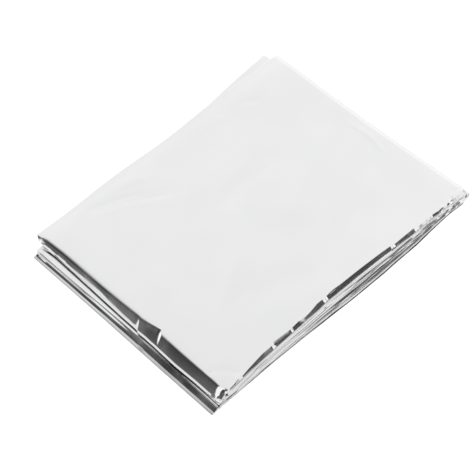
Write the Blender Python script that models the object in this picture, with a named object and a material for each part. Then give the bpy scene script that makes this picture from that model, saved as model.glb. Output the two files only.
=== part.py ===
"""Emergency foil blanket, folded down to a flat pack.

The blanket is one rectangle of silvery film, 2.10 m long and 1.60 m wide. It is folded in half
three times across its width, which leaves a strip 200 mm wide, and the strip is then folded in
half three times along its length. The strip goes back and forth in eight passes, and each pass
is modelled as one sheet of the bundled film.

X runs along the long side of the pack and Y along its short side. The left side (-X) shows the
free ends of the strip and three creases. The right side (+X) holds four creases, one inside
the other. The front (-Y) is a rounded edge where the film folds over, and the back (+Y) is
where the bundled film ends. The pack lies flat on its lowest pass, with its origin under the
middle of its outline.
"""
import math
from collections import namedtuple

import bmesh
import bpy

MM = 0.001

# Sizes of the pack, in millimetres
SHEET_LENGTH = 2100.0
SHEET_WIDTH = 1600.0
HALVINGS = 3
PASS_LENGTH = SHEET_LENGTH / 2 ** HALVINGS
STRIP_WIDTH = SHEET_WIDTH / 2 ** HALVINGS
HALF_LONG = PASS_LENGTH / 2
HALF_SHORT = STRIP_WIDTH / 2
BUNDLE = 1.0
HALF_BUNDLE = BUNDLE / 2
NOSE = 0.6
SMALLEST_PITCH = 1.38

# Every pass in the order of the strip: its place in the stack, counted from the bottom, and
# where its front and back edges lie at the left and the right end
Pass = namedtuple("Pass", "place front_left front_right back_left back_right")
PASSES = (
    Pass(4, -94.4, -97.6, 92.0, 113.4),
    Pass(5, -96.4, -98.6, 89.5, 114.4),
    Pass(8, -94.4, -97.4, 101.2, 102.2),
    Pass(1, -92.8, -99.2, 97.0, 99.0),
    Pass(2, -93.4, -98.2, 96.0, 99.4),
    Pass(7, -95.8, -98.2, 99.4, 101.4),
    Pass(6, -95.0, -97.8, 97.0, 102.0),
    Pass(3, -95.4, -98.8, 92.0, 101.0),
)

# Every crease and free end in the order of the strip: how far it reaches at five places from
# the front to the back, how deep its turn is along X at the front, in the middle and at the
# back, and into how many steps it is divided. Even ones lie on the left, odd ones on the right.
Crease = namedtuple("Crease", "reach depth steps")
REACH_AT = (-95.0, -45.0, 0.0, 50.0, 95.0)
CREASES = (
    Crease((-132.6, -132.0, -131.6, -132.4, -133.4), None, 0),
    Crease((127.8, 127.4, 127.6, 127.2, 127.4), (1.6, 1.7, 1.7), 4),
    Crease((-131.6, -132.5, -131.5, -130.4, -132.6), (4.2, 5.6, 2.6), 8),
    Crease((135.2, 133.0, 132.0, 132.0, 132.6), (6.2, 6.2, 6.2), 8),
    Crease((-139.0, -139.4, -139.3, -139.5, -139.8), (4.4, 4.6, 3.0), 7),
    Crease((131.4, 131.0, 130.5, 130.4, 130.8), (4.9, 4.9, 4.9), 7),
    Crease((-129.2, -128.6, -128.0, -128.0, -129.8), (1.4, 1.6, 1.1), 4),
    Crease((129.8, 129.4, 129.1, 128.9, 129.2), (3.4, 3.4, 3.4), 6),
    Crease((-134.2, -133.6, -134.2, -136.0, -137.0), None, 0),
)

# Pitch of the stack at nine spots of the pack, one value between each pass and the next one
# above it. At the left the lowest fold stands open towards the back, and the uppermost one
# in the middle and towards the front.
Spot = namedtuple("Spot", "left middle right")
PITCHES = {
    "front": Spot(
        (2.6, 1.6, 1.6, 1.6, 2.1, 2.1, 2.1),
        (2.5, 2.6, 2.6, 2.6, 2.7, 2.7, 2.8),
        (1.6, 1.6, 1.7, 1.8, 1.7, 1.7, 1.7),
    ),
    "centre": Spot(
        (3.4, 1.4, 1.4, 1.4, 2.4, 2.5, 2.6),
        (2.4, 2.2, 2.3, 2.3, 2.4, 2.4, 2.4),
        (1.9, 2.1, 2.1, 2.3, 2.1, 2.1, 2.0),
    ),
    "back": Spot(
        (6.2, 1.5, 1.5, 1.6, 1.5, 1.5, 1.5),
        (2.3, 2.1, 2.2, 2.2, 2.3, 2.3, 2.3),
        (2.1, 2.3, 2.4, 2.4, 2.3, 2.3, 2.2),
    ),
}

# The stack thins towards its front edge, where the film rolls over, and a little at its back
FRONT_THINNING = 0.18
BACK_THINNING = 0.04
RIM_WIDTH = 6.0
FRONT_RIM = -97.0
BACK_RIM = 100.0

# Slow waves of the stack, which grow from nothing at the bottom to this height at the top
WAVE_HEIGHT = 0.35
WAVE_LENGTH_X = 170.0
WAVE_LENGTH_Y = 130.0

# Wander of the front and back edges along each pass
WANDER = 0.7
WANDER_LENGTH = 96.0

# Points along a pass between its two turns, and stations from front to back
RUN_STEPS = 8
STATIONS = (0.0, 0.008, 0.025, 0.06, 0.13, 0.24, 0.36, 0.5, 0.64, 0.76, 0.87, 0.94, 0.975, 1.0)

SectionPoint = namedtuple("SectionPoint", "left right")


def through_three(low, middle, high, t):
    """Value of the parabola through low at t = -1, middle at t = 0 and high at t = 1."""
    return low * t * (t - 1) / 2 + middle * (1 - t * t) + high * t * (t + 1) / 2


def between(start, end, t):
    """Value on the straight line from start to end."""
    return start + (end - start) * t


def on_polyline(places, values, place):
    """Value at a place on the broken line through the values."""
    place = min(max(place, places[0]), places[-1])
    for index in range(len(places) - 1):
        if place <= places[index + 1]:
            t = (place - places[index]) / (places[index + 1] - places[index])
            return between(values[index], values[index + 1], t)
    return values[-1]


def pitch_at(index, x, y):
    """Pitch between one pass and the next above it, at a spot of the pack."""
    tx = min(max(x / HALF_LONG, -1.0), 1.0)
    ty = min(max(y / HALF_SHORT, -1.0), 1.0)
    rows = []
    for name in ("front", "centre", "back"):
        spot = PITCHES[name]
        rows.append(through_three(spot.left[index], spot.middle[index], spot.right[index], tx))
    thinning = FRONT_THINNING * math.exp(-(max(y - FRONT_RIM, 0.0) / RIM_WIDTH) ** 2)
    thinning += BACK_THINNING * math.exp(-(max(BACK_RIM - y, 0.0) / RIM_WIDTH) ** 2)
    pitch = through_three(rows[0], rows[1], rows[2], ty) * (1 - thinning)
    return max(pitch, SMALLEST_PITCH)


def height_at(place, x, y):
    """Height of the middle of the pass at a place of the stack."""
    height = HALF_BUNDLE + sum(pitch_at(index, x, y) for index in range(place - 1))
    wave = math.sin(2 * math.pi * x / WAVE_LENGTH_X + 1.1)
    wave *= math.sin(2 * math.pi * y / WAVE_LENGTH_Y + 0.4)
    return height + WAVE_HEIGHT * wave * (place - 1) / (len(PASSES) - 1)


def edges_at(number, x):
    """Front and back edge of a pass at a place along X."""
    row = PASSES[number]
    t = (x + HALF_LONG) / PASS_LENGTH
    wander = WANDER * math.sin(2 * math.pi * x / WANDER_LENGTH + 2.3 * number)
    front = between(row.front_left, row.front_right, t) + wander
    back = between(row.back_left, row.back_right, t) + wander / 2
    return front, back


def y_at(number, x, station):
    """Y of a pass at a place along X, for a station from 0 at its front to 1 at its back."""
    front, back = edges_at(number, x)
    return between(front, back, station)


def depth_at(number, y):
    """Depth along X of a crease's turn, measured on the middle of the sheet."""
    front, middle, back = CREASES[number].depth
    return through_three(front, middle, back, min(max(y / HALF_SHORT, -1.0), 1.0))


def turn_start(number, station):
    """X where the runs on both sides of a crease or free end stop."""
    neighbour = min(number, len(PASSES) - 1)
    side = 1 if number % 2 else -1
    y = y_at(neighbour, side * HALF_LONG, station)
    reach = on_polyline(REACH_AT, CREASES[number].reach, y)
    if CREASES[number].depth is None:
        return reach
    return reach - side * (depth_at(number, y) + HALF_BUNDLE)


def run_points(number, station):
    """Points of one pass between its turns, each with its left and right hand skin."""
    start = turn_start(number, station)
    end = turn_start(number + 1, station)
    heading = 1 if number % 2 == 0 else -1
    place = PASSES[number].place
    points = []
    for step in range(RUN_STEPS + 1):
        x = between(start, end, step / RUN_STEPS)
        y = y_at(number, x, station)
        z = height_at(place, x, y)
        left = (x, y, z + heading * HALF_BUNDLE)
        right = (x, y, z - heading * HALF_BUNDLE)
        points.append(SectionPoint(left, right))
    return points


def turn_points(number, station):
    """Points of the half ellipse that joins pass number - 1 to pass number."""
    steps = CREASES[number].steps
    x = turn_start(number, station)
    heading = 1 if number % 2 else -1
    depth = depth_at(number, y_at(number, heading * HALF_LONG, station))
    y_before = y_at(number - 1, x, station)
    y_after = y_at(number, x, station)
    z_before = height_at(PASSES[number - 1].place, x, y_before)
    z_after = height_at(PASSES[number].place, x, y_after)
    rise = 1 if z_after > z_before else -1
    middle = (z_before + z_after) / 2
    radius = abs(z_after - z_before) / 2
    points = []
    for step in range(1, steps):
        angle = math.pi * step / steps
        y = between(y_before, y_after, (1 - math.cos(angle)) / 2)
        skins = []
        for offset in (HALF_BUNDLE, -HALF_BUNDLE):
            dx = heading * (depth + offset) * math.sin(angle)
            dz = -rise * (radius + offset) * math.cos(angle)
            skins.append((x + dx, y, middle + dz))
        outer, inner = skins
        turns_left = heading * rise > 0
        points.append(SectionPoint(inner, outer) if turns_left else SectionPoint(outer, inner))
    return points


def section_points(station):
    """Points of the whole strip, from its lower free end to its upper one."""
    points = []
    for number in range(len(PASSES)):
        if number:
            points += turn_points(number, station)
        points += run_points(number, station)
    return points


def nose_points(station_points):
    """Line along the front of the strip, where the film folds over."""
    line = []
    for point in station_points:
        middle = [(a + b) / 2 for a, b in zip(point.left, point.right)]
        line.append((middle[0], middle[1] - NOSE, middle[2]))
    return line


def add_line(mesh, line, centre):
    """Add one line of vertices, in metres, with the pack's outline centred on the origin."""
    vertices = []
    for x, y, z in line:
        vertices.append(mesh.verts.new(((x - centre[0]) * MM, (y - centre[1]) * MM, z * MM)))
    return vertices


def bridge(mesh, line, following):
    """Join two lines of vertices with a row of faces."""
    for index in range(len(line) - 1):
        corners = (line[index], line[index + 1], following[index + 1], following[index])
        mesh.faces.new(corners)


def build_strip_mesh(name):
    """Closed mesh of the folded strip: two skins, two free ends, the front and the back."""
    sections = [section_points(station) for station in STATIONS]
    nose = nose_points(sections[0])
    everything = [skin for section in sections for point in section for skin in point] + nose
    centre = []
    for axis in (0, 1):
        values = [corner[axis] for corner in everything]
        centre.append((min(values) + max(values)) / 2)

    mesh = bmesh.new()
    left = [add_line(mesh, [point.left for point in section], centre) for section in sections]
    right = [add_line(mesh, [point.right for point in section], centre) for section in sections]
    nose_line = add_line(mesh, nose, centre)
    for number in range(len(STATIONS) - 1):
        bridge(mesh, left[number], left[number + 1])
        bridge(mesh, right[number + 1], right[number])
        for end in (0, -1):
            corners = (left[number][end], left[number + 1][end])
            corners += (right[number + 1][end], right[number][end])
            mesh.faces.new(corners)
    bridge(mesh, nose_line, left[0])
    bridge(mesh, right[0], nose_line)
    for end in (0, -1):
        mesh.faces.new((nose_line[end], left[0][end], right[0][end]))
    bridge(mesh, left[-1], right[-1])
    bmesh.ops.recalc_face_normals(mesh, faces=mesh.faces[:])
    bmesh.ops.triangulate(mesh, faces=mesh.faces[:])

    data = bpy.data.meshes.new(name)
    mesh.to_mesh(data)
    mesh.free()
    data.shade_smooth()
    data.set_sharp_from_angle(angle=math.radians(35))
    return data


def foil_film():
    """Silvery metallised film."""
    material = bpy.data.materials.new("foil_film")
    material.use_nodes = True
    shader = material.node_tree.nodes["Principled BSDF"]
    shader.inputs["Base Color"].default_value = (0.90, 0.90, 0.91, 1.0)
    shader.inputs["Metallic"].default_value = 1.0
    shader.inputs["Roughness"].default_value = 0.18
    return material


def build_blanket():
    """The folded blanket, one object."""
    data = build_strip_mesh("blanket")
    data.materials.append(foil_film())
    blanket = bpy.data.objects.new("blanket", data)
    bpy.context.scene.collection.objects.link(blanket)
    return blanket


for old in list(bpy.data.objects):
    bpy.data.objects.remove(old, do_unlink=True)
build_blanket()
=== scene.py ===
"""Looks of the emergency foil blanket, folded down to a flat pack.

The blanket is one rectangle of silvery film, 2.10 m by 1.60 m, with 64 plies in the pack. It is
folded in half three times across its width, into a strip of eight plies, and the strip is then
folded in half three times along its length. The sheet here goes through all those folds. Lengths
are in millimetres until the mesh is made. In the folding frame X runs along the pack's long side
and Y along its short side, and the front (-Y) is the edge where the film rolls over.
"""
import logging
import math
from dataclasses import astuple, dataclass, field
from enum import Enum

import bpy
import numpy as np
from mathutils import Matrix, Vector


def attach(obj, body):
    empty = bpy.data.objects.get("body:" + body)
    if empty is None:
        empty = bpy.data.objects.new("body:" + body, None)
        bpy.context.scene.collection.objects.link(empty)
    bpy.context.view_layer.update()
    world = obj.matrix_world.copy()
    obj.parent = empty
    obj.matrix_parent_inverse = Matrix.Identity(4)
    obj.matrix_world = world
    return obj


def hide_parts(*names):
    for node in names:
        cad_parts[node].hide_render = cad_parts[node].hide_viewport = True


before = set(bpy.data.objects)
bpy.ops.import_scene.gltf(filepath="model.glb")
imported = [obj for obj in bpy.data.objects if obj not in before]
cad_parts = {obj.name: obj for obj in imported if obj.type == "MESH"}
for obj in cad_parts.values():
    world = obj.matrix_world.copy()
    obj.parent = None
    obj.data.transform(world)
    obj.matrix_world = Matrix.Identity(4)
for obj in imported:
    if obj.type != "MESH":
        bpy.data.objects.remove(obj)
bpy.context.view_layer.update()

logging.basicConfig(level=logging.INFO, format="%(message)s")
log = logging.getLogger("foil_blanket")

Array = np.ndarray
Pairs = tuple[tuple[float, float], ...]
Rows = tuple[tuple[float, float, float], ...]
MM = 0.001

# The sheet and the folded pack, in millimetres
SHEET_LENGTH = 2100.0
SHEET_WIDTH = 1600.0
PASSES_IN_PACK = 8
STRIPS_IN_PASS = 8
PASS_LENGTH = SHEET_LENGTH / PASSES_IN_PACK
STRIP_WIDTH = SHEET_WIDTH / STRIPS_IN_PASS
HALF_LONG = PASS_LENGTH / 2
HALF_SHORT = STRIP_WIDTH / 2
TIGHT_HALF = 0.5
PACK_CENTRE = (-2.255, 6.845)
TOP_PASS = 2


class Detail(Enum):
    """How closely a line along the sheet is divided."""

    PLAIN = "plain"
    TOP = "top"
    ROLL = "roll"


class RollShape(Enum):
    """Outline of a front roll, from its top to its bottom: how far out, and at what level."""

    FACET = ((0.0, 1.0), (0.05, 0.98), (0.48, 0.20), (0.93, -0.62), (1.0, -0.74), (0.99, -0.90),
             (0.90, -0.99), (0.40, -1.0), (0.0, -1.0))
    BLOCK = ((0.0, 1.0), (0.66, 0.99), (0.94, 0.92), (1.0, 0.76), (1.0, -0.70), (0.94, -0.90),
             (0.70, -0.98), (0.35, -1.0), (0.0, -1.0))
    STEEP = ((0.0, 1.0), (0.10, 0.98), (0.22, 0.86), (0.55, 0.20), (0.92, -0.50), (1.0, -0.72),
             (0.95, -0.90), (0.60, -1.0), (0.0, -1.0))


# How far the corners of a front roll are rounded, as a share of its size, and how much of a side
# the rounding of any corner may take
ROLL_SOFTNESS = 0.12
LARGEST_CORNER = 0.35

# A crease's outline: where its shoulder bends, where its facet swells, where its nose starts and
# ends as shares of the nose's height, and how far its twelve corners are rounded
SHOULDER_BEND = (0.45, 0.26)
FACET_SWELLS = (0.33, 0.68)
NOSE_ENDS = (0.80, 0.20)
NOSE_TIP = 0.12
NOSE_HEEL = 0.3
CREASE_SOFTNESS = (0.0, 1.1, 0.30, 1.0, 1.0, 0.15, 0.10, 0.10, 0.2, 0.2, 1.0, 0.0)
ROUND_FOLD_CORNERS = 9

# Places from the front to the back where a round fold or a free end is given
FOLD_PLACES = (-95.0, -45.0, 0.0, 50.0, 95.0)


def smooth_step(low: float, high: float, value: Array) -> Array:
    """Ease from 0 at low to 1 at high.

    Args:
        low: Value where the step starts.
        high: Value where it ends, which may be below low.
        value: Where to read the step.

    Returns:
        The eased share, from 0 to 1.
    """
    t = np.clip((value - low) / (high - low), 0.0, 1.0)
    return t * t * (3 - 2 * t)


def through_three(low: float, middle: float, high: float, t: Array) -> Array:
    """Read the parabola through three values.

    Args:
        low: Value at t = -1.
        middle: Value at t = 0.
        high: Value at t = 1.
        t: Where to read it.

    Returns:
        The values on the parabola.
    """
    return low * t * (t - 1) / 2 + middle * (1 - t * t) + high * t * (t + 1) / 2


def rounded(points: Array, softness: Array) -> Array:
    """Round the corners of one outline, or of many at once.

    Args:
        points: Corners in the last two axes, one row for each.
        softness: How far from each corner the rounding may reach.

    Returns:
        The outlines with two points in place of each inner corner.
    """
    middle = points[..., 1:-1, :]
    sides = []
    for neighbour in (points[..., :-2, :], points[..., 2:, :]):
        way = neighbour - middle
        length = np.maximum(np.linalg.norm(way, axis=-1, keepdims=True), 1e-6)
        sides.append(middle + way * np.minimum(softness[1:-1, None] / length, LARGEST_CORNER))
    pairs = np.stack(sides, axis=-2)
    inner = pairs.reshape(*pairs.shape[:-3], -1, 2)
    return np.concatenate([points[..., :1, :], inner, points[..., -1:, :]], axis=-2)


def facing(outline: Array, blur: float) -> Array:
    """Work out which way an outline faces at each of its points.

    Args:
        outline: Points from its top, outwards and down to its bottom.
        blur: Length over which a corner turns.

    Returns:
        Unit vectors, straight up at the first point and straight down at the last.
    """
    steps = np.diff(outline, axis=0)
    lengths = np.linalg.norm(steps, axis=1)
    ends = np.concatenate([[0.0], np.cumsum(lengths)])
    middles = ends[1:] - lengths / 2
    across = np.stack([-steps[:, 1], steps[:, 0]], axis=1)
    weights = np.exp(-(((ends[:, None] - middles[None]) / blur) ** 2))
    normals = weights @ across
    normals /= np.maximum(np.linalg.norm(normals, axis=1, keepdims=True), 1e-9)
    normals[0], normals[-1] = (0.0, 1.0), (0.0, -1.0)
    return normals


@dataclass(frozen=True)
class Wander:
    """An uneven line: a few sine waves of falling length, with phases from a fixed seed."""

    seed: int
    lengths: tuple[float, ...] = (97.0, 43.0, 21.0, 11.0)
    weights: tuple[float, ...] = (0.50, 0.32, 0.20, 0.12)

    def at(self, place: Array) -> Array:
        """Read the line.

        Args:
            place: Distances along the line, in millimetres.

        Returns:
            Values between about -1 and 1.
        """
        phases = np.random.default_rng(self.seed).uniform(0, 2 * math.pi, len(self.lengths))
        total = np.zeros_like(place, dtype=float)
        for length, weight, phase in zip(self.lengths, self.weights, phases):
            total += weight * np.sin(2 * math.pi * place / length + phase)
        return total


@dataclass(frozen=True)
class Pass:
    """One pass of the strip from side to side: its place in the stack and its back edge."""

    place: int
    back_left: float
    back_right: float


@dataclass(frozen=True)
class Cut:
    """Cross-section of a fold at one place from the front to the back.

    The film runs over a soft shoulder, falls as a facet, may run out again as a flat lip and
    turns back at a blunt nose. The reach is how far the fold lies from the middle of the folding
    frame, and the depth how far it goes along X. The belly is how far the facet swells out, as a
    share of its length. With no nose the fold is round, and with no depth the strip ends there.
    """

    place: float
    reach: float
    depth: float = 0.0
    shoulder: float = 0.0
    drop: float = 0.0
    lip: float = 0.0
    fall: float = 0.0
    nose: float = 0.0
    belly: float = 0.022

    def skin(self, height: float) -> Array:
        """Draw the outside of the fold.

        Args:
            height: Height of the fold.

        Returns:
            Points from its top, outwards and down to its bottom: how far out, and how high.
        """
        if not self.nose:
            angles = np.linspace(0.0, math.pi, ROUND_FOLD_CORNERS)
            out, up = self.depth * np.sin(angles), height * (1 + np.cos(angles)) / 2
            return rounded(np.stack([out, up], axis=1), np.ones(ROUND_FOLD_CORNERS))
        knee = np.array([self.shoulder, height - self.drop])
        toe = np.array([self.depth - self.lip, self.nose + self.fall])
        facet = toe - knee
        bulge = np.array([-facet[1], facet[0]]) * self.belly
        bend_out, bend_down = SHOULDER_BEND
        corners = (
            (0.0, height), (self.shoulder * bend_out, height - self.drop * bend_down),
            tuple(knee), *(tuple(knee + facet * swell + bulge) for swell in FACET_SWELLS),
            tuple(toe), (self.depth - NOSE_TIP, self.nose),
            *((self.depth, self.nose * end) for end in NOSE_ENDS),
            (self.depth - NOSE_HEEL, 0.0), (self.depth * 0.5, 0.0), (0.0, 0.0),
        )
        return rounded(np.array(corners), np.array(CREASE_SOFTNESS))


@dataclass(frozen=True)
class Crease:
    """A fold at one short side, or the strip's free end, from the front to the back."""

    cuts: tuple[Cut, ...]

    @property
    def free(self) -> bool:
        """Whether the strip ends here."""
        return not self.cuts[0].depth

    def at(self, y: float) -> Cut:
        """Read the cross-section at one place.

        Args:
            y: Place from the front to the back.

        Returns:
            The cross-section between those that are given.
        """
        columns = np.array([astuple(cut) for cut in self.cuts]).T
        return Cut(*(float(np.interp(y, columns[0], column)) for column in columns))

    def sample_count(self) -> int:
        """Number of points that a line has on the fold."""
        return 0 if self.free else len(self.cuts[0].skin(4.0))


def round_fold(reaches: tuple[float, ...], depths: tuple[float, ...] = (0.0,) * 5) -> Crease:
    """Make a round fold or a free end.

    Args:
        reaches: Reach at five places from the front to the back.
        depths: Depth there, or nothing for a free end.

    Returns:
        The crease.
    """
    return Crease(tuple(Cut(*row) for row in zip(FOLD_PLACES, reaches, depths)))


@dataclass(frozen=True)
class Roll:
    """Front roll of one place of the stack, which changes from its left to its right."""

    left: RollShape
    right: RollShape
    left_depth: float
    right_depth: float
    mixing: float = 0.5


# The front side of the pack: place along X, where the top pass starts to fall, how deep its roll
# is, and how far the lowest pass reaches
FRONT = (
    (-125.0, -94.5, 0.7, -94.4), (-118.0, -94.3, 0.6, -94.5), (-111.5, -93.3, 1.4, -94.6),
    (-109.5, -93.9, 0.8, -94.6), (-100.0, -92.7, 1.5, -94.8), (-86.0, -91.4, 2.7, -95.0),
    (-77.2, -91.8, 2.3, -95.2), (-75.0, -90.3, 3.7, -95.2), (-66.0, -91.2, 2.9, -95.4),
    (-58.5, -92.0, 2.1, -95.8), (-56.0, -91.8, 2.2, -95.9), (-50.0, -91.4, 2.8, -96.1),
    (-43.0, -92.5, 1.7, -96.5), (-36.0, -91.8, 2.5, -96.9), (-29.0, -90.6, 3.6, -97.3),
    (-22.0, -91.2, 2.5, -97.6), (-13.0, -90.4, 3.7, -98.0), (-5.0, -91.2, 3.1, -98.4),
    (15.0, -92.1, 2.7, -99.2), (36.0, -93.3, 2.3, -99.7), (47.0, -94.1, 2.0, -99.6),
    (49.0, -95.0, 1.4, -99.6), (58.0, -94.9, 2.0, -99.6), (73.0, -94.7, 3.0, -99.9),
    (75.5, -96.4, 1.1, -99.9), (86.8, -95.7, 2.0, -99.5), (89.0, -96.7, 0.8, -99.3),
    (94.0, -96.0, 1.7, -99.2), (102.0, -96.7, 1.3, -98.8), (112.0, -96.9, 1.4, -98.7),
    (118.0, -95.6, 3.2, -98.8), (123.0, -93.8, 5.6, -99.2), (128.0, -93.0, 7.6, -99.6),
)
FRONT_AT, TOP_START, TOP_DEPTH, BOTTOM_REACH = zip(*FRONT)


@dataclass(frozen=True)
class FoldPlan:
    """Where every point of the strip lies in the pack."""

    passes: tuple[Pass, ...] = (
        Pass(4, 92.0, 113.4), Pass(5, 89.5, 114.4), Pass(8, 101.2, 102.2), Pass(1, 97.0, 99.0),
        Pass(2, 96.0, 99.4), Pass(7, 99.4, 101.4), Pass(6, 97.0, 102.0), Pass(3, 92.0, 101.0),
    )
    # The big upper fold and the lipped lower one: place, reach, depth, shoulder, drop, lip, fall
    # and nose
    creases: tuple[Crease, ...] = (
        round_fold((132.6, 132.2, 131.4, 130.2, 130.4)),
        round_fold((127.8, 127.4, 127.6, 127.2, 127.4), (2.1, 2.2, 2.2, 2.2, 2.2)),
        Crease((
            Cut(-95.0, 131.6, 8.6, 3.0, 0.75, 0.8, 1.5, 0.4),
            Cut(-82.0, 132.3, 9.8, 3.2, 0.85, 0.9, 1.7, 0.4),
            Cut(-70.0, 132.4, 10.3, 3.4, 0.90, 1.0, 1.9, 0.4),
            Cut(-49.0, 133.0, 11.2, 3.8, 1.05, 1.0, 1.9, 0.4),
            Cut(-28.6, 132.6, 11.0, 3.9, 1.05, 1.0, 1.9, 0.4),
            Cut(-26.6, 132.5, 11.0, 0.7, 0.12, 1.0, 1.9, 0.4),
            Cut(-21.0, 132.5, 10.8, 1.6, 0.30, 1.0, 1.9, 0.4),
            Cut(-14.5, 132.5, 10.7, 3.2, 0.85, 1.0, 2.0, 0.4),
            Cut(-7.6, 133.0, 10.8, 3.8, 1.05, 1.1, 2.1, 0.4),
            Cut(-5.2, 131.6, 9.6, 3.8, 1.05, 1.1, 2.2, 0.4),
            Cut(12.0, 131.7, 9.1, 4.3, 1.25, 0.9, 2.1, 0.5),
            Cut(33.0, 131.6, 8.4, 4.7, 1.50, 0.7, 1.9, 0.6),
            Cut(55.0, 131.4, 7.9, 4.6, 1.55, 0.6, 1.9, 0.6),
            Cut(78.0, 131.4, 6.9, 4.0, 1.45, 0.6, 1.9, 0.6),
            Cut(90.0, 131.4, 5.6, 3.2, 1.20, 0.5, 2.2, 0.6),
            Cut(97.0, 131.8, 4.6, 2.3, 0.80, 0.5, 2.3, 0.6),
            Cut(101.5, 132.6, 3.4, 1.2, 0.30, 0.5, 2.3, 0.6),
        )),
        round_fold((135.2, 133.0, 132.0, 132.0, 132.6), (6.7, 6.7, 6.7, 6.7, 6.7)),
        Crease((
            Cut(-95.0, 139.2, 6.9, 0.5, 0.10, 2.3, 0.55, 0.7),
            Cut(-45.0, 139.4, 6.8, 0.5, 0.10, 2.4, 0.55, 0.7),
            Cut(-22.0, 139.4, 6.0, 0.5, 0.10, 2.5, 0.50, 0.8, -0.02),
            Cut(-19.6, 139.4, 6.4, 0.5, 0.10, 3.3, 0.60, 0.8, 0.0),
            Cut(-17.0, 139.4, 5.9, 0.5, 0.10, 2.5, 0.50, 0.8, -0.04),
            Cut(15.0, 139.3, 5.4, 0.5, 0.10, 2.4, 0.45, 0.8, -0.10),
            Cut(36.0, 139.4, 5.1, 0.5, 0.10, 2.2, 0.42, 0.8, -0.15),
            Cut(55.0, 139.5, 4.7, 0.5, 0.10, 2.1, 0.42, 0.8, -0.19),
            Cut(78.0, 139.7, 4.0, 0.4, 0.10, 2.1, 0.40, 0.8, -0.24),
            Cut(95.0, 139.8, 3.7, 0.4, 0.10, 1.9, 0.40, 0.8, -0.24),
        )),
        round_fold((131.4, 131.0, 130.5, 130.4, 130.8), (5.4, 5.4, 5.4, 5.4, 5.4)),
        round_fold((124.2, 122.6, 123.6, 125.4, 127.4), (1.9, 2.1, 2.1, 1.8, 1.6)),
        round_fold((129.8, 129.4, 129.1, 128.9, 129.2), (3.9, 3.9, 3.9, 3.9, 3.9)),
        round_fold((134.2, 133.6, 134.2, 136.0, 137.0)),
    )
    # Pitch of the stack, one row between each place and the next: front, centre and back, each
    # at the left, in the middle and at the right
    pitches: tuple[tuple[float, ...], ...] = (
        (2.6, 2.5, 1.6, 3.4, 2.4, 1.9, 6.2, 2.3, 2.1),
        (1.6, 2.6, 1.6, 1.4, 2.2, 2.1, 1.5, 2.1, 2.3),
        (1.6, 2.6, 1.7, 1.4, 2.3, 2.1, 1.5, 2.2, 2.4),
        (1.6, 2.6, 1.8, 1.4, 2.3, 2.3, 1.6, 2.2, 2.4),
        (2.1, 2.7, 1.7, 2.4, 2.4, 2.1, 1.5, 2.3, 2.3),
        (2.1, 2.7, 1.7, 2.5, 2.4, 2.1, 1.5, 2.3, 2.3),
        (2.1, 2.8, 1.7, 2.6, 2.4, 2.0, 1.5, 2.3, 2.2),
    )
    # Front rolls from the lowest place to the highest, whose depth stands in FRONT and which takes
    # its second shape at the tucks
    rolls: tuple[Roll, ...] = (
        Roll(RollShape.BLOCK, RollShape.FACET, 0.8, 1.5, 0.15),
        Roll(RollShape.BLOCK, RollShape.BLOCK, 0.7, 0.6, 0.2),
        Roll(RollShape.STEEP, RollShape.FACET, 1.0, 1.7, 0.35),
        Roll(RollShape.BLOCK, RollShape.FACET, 0.8, 1.9, 0.35),
        Roll(RollShape.BLOCK, RollShape.STEEP, 0.7, 1.7, 0.4),
        Roll(RollShape.STEEP, RollShape.FACET, 1.1, 1.5, 0.35),
        Roll(RollShape.BLOCK, RollShape.BLOCK, 0.6, 0.5, 0.4),
        Roll(RollShape.FACET, RollShape.BLOCK, 0.0, 0.0, 0.0),
    )
    # Narrow tucks that cut across the top roll: X, half width, and how fully they show
    tucks: Rows = ((-110.5, 0.8, 1.0), (-76.0, 0.5, 1.0), (-57.3, 0.4, 0.3), (-21.5, 0.7, 0.4),
                   (48.0, 0.6, 1.0), (74.4, 0.9, 1.0), (88.0, 0.9, 1.0), (91.8, 0.6, 0.8),
                   (108.0, 0.5, 0.7))
    tuck_edge: float = 0.35
    # Where the inner plies of the big upper fold lie back from its skin: Y, reach and slack
    slack: tuple[float, float, float] = (-20.0, 56.0, 1.5)
    smallest_pitch: float = 1.38
    # How full a pass is of the room it has, and how much of that away from its front roll
    fullness: float = 0.45
    flat_fullness: float = 0.35
    side_rim: tuple[float, float] = (131.0, 119.0)
    front_rim: tuple[float, float] = (-60.0, -88.0)
    # The free ends of the strip are pressed thin and up, the first one less than the last
    end_pressing: float = 0.5
    end_rise: tuple[float, float] = (1.2, 2.6)
    end_rim: tuple[float, float] = (-114.0, -127.0)
    # Where the front rolls change along X, how they end, and how uneven they are
    roll_change: tuple[float, float] = (-75.0, 5.0)
    roll_rim: tuple[float, float] = (131.0, 120.0)
    end_depth: float = 0.55
    depth_wander: float = 0.3
    full_facet: float = 2.2
    outline_seed: int = 20
    depth_seed: int = 40
    edge_seed: int = 60
    edge_waves: tuple[float, ...] = (140.0, 61.0, 33.0, 17.0)
    fan_power: float = 0.85
    lowest_wander: float = 0.35
    upper_line: Pairs = ((-125.0, -96.0), (-90.0, -93.9), (-20.0, -94.2), (50.0, -97.0),
                         (116.0, -98.4), (128.0, -98.2))
    back_thinning: float = 0.04
    rim_width: float = 6.0
    back_rim: float = 100.0
    wave_height: float = 0.35
    wave_length_x: float = 170.0
    wave_length_y: float = 130.0
    wave_phases: tuple[float, float] = (1.1, 0.4)
    edge_wander: float = 0.45
    back_wander: float = 0.4
    back_wave: float = 15.3
    back_shift: float = 2.3

    def heading(self, number: int) -> int:
        """Direction along X in which a pass runs: 1 for even passes and -1 for odd ones."""
        return -1 if number % 2 else 1

    def side(self, crease: int) -> int:
        """Side of a crease along X: 1 for odd creases and -1 for even ones."""
        return 1 if crease % 2 else -1

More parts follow.
